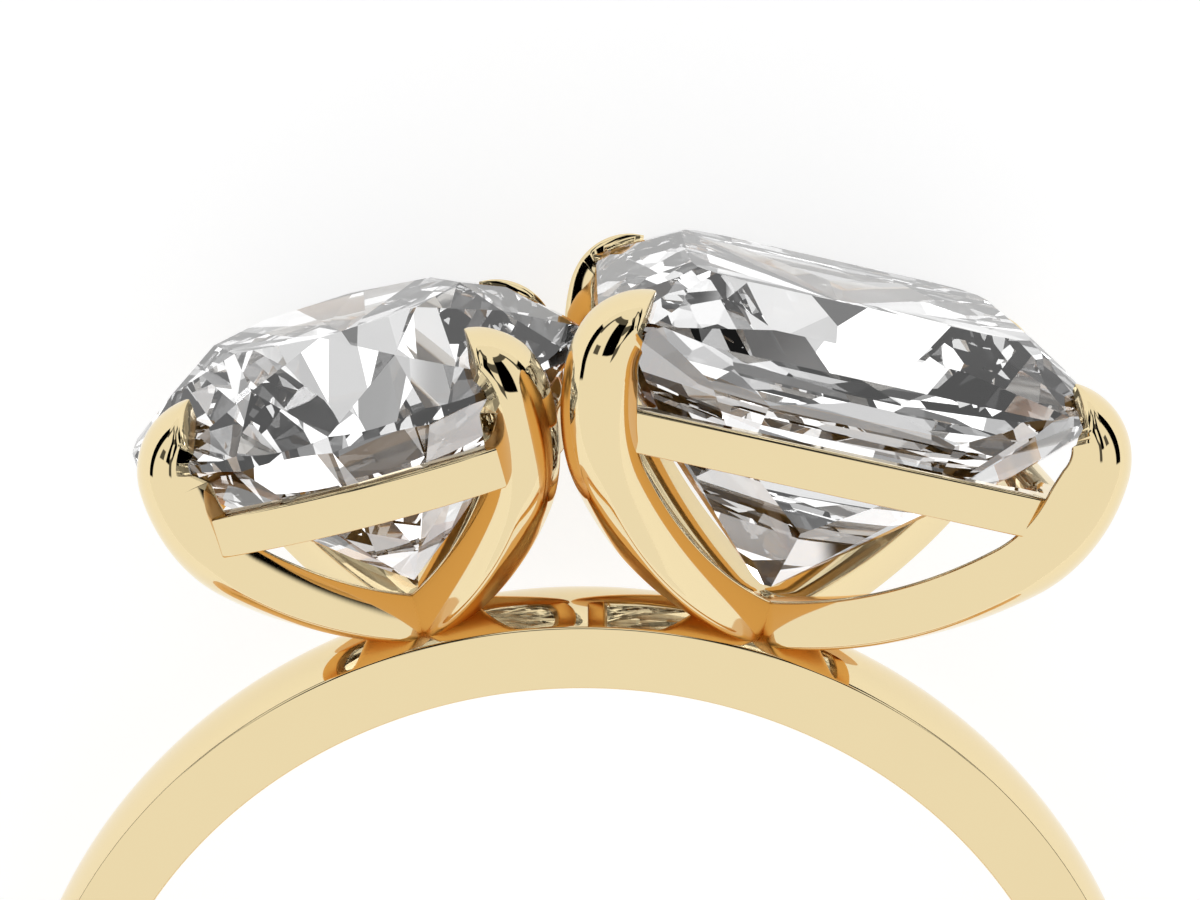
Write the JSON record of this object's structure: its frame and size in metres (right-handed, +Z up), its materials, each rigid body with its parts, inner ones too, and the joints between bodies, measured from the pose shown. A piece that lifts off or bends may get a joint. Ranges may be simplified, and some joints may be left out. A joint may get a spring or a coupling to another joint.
{
  "type": "toi et moi ring",
  "caption": "Domed gold band with two leaning claw heads side by side, one with a round brilliant stone and one with a cut-cornered rectangular stone.",
  "frame": {"origin": "centre of the finger hole, halfway through the band's width", "axes": "+Z up from the surface that the ring lies on, with the ring's front up and the hole's axis 7 degrees off upright; +Y from the hole towards the two heads; +X towards the rectangular stone"},
  "size_m": [0.0196, 0.0254, 0.0077],
  "materials": {
    "gold": "polished yellow gold",
    "stone": "clear faceted diamond"
  },
  "bodies": {
    "root": {"gold_ring": "gold", "round_stone": "stone", "rectangular_stone": "stone"}
  },
  "joints": []
}
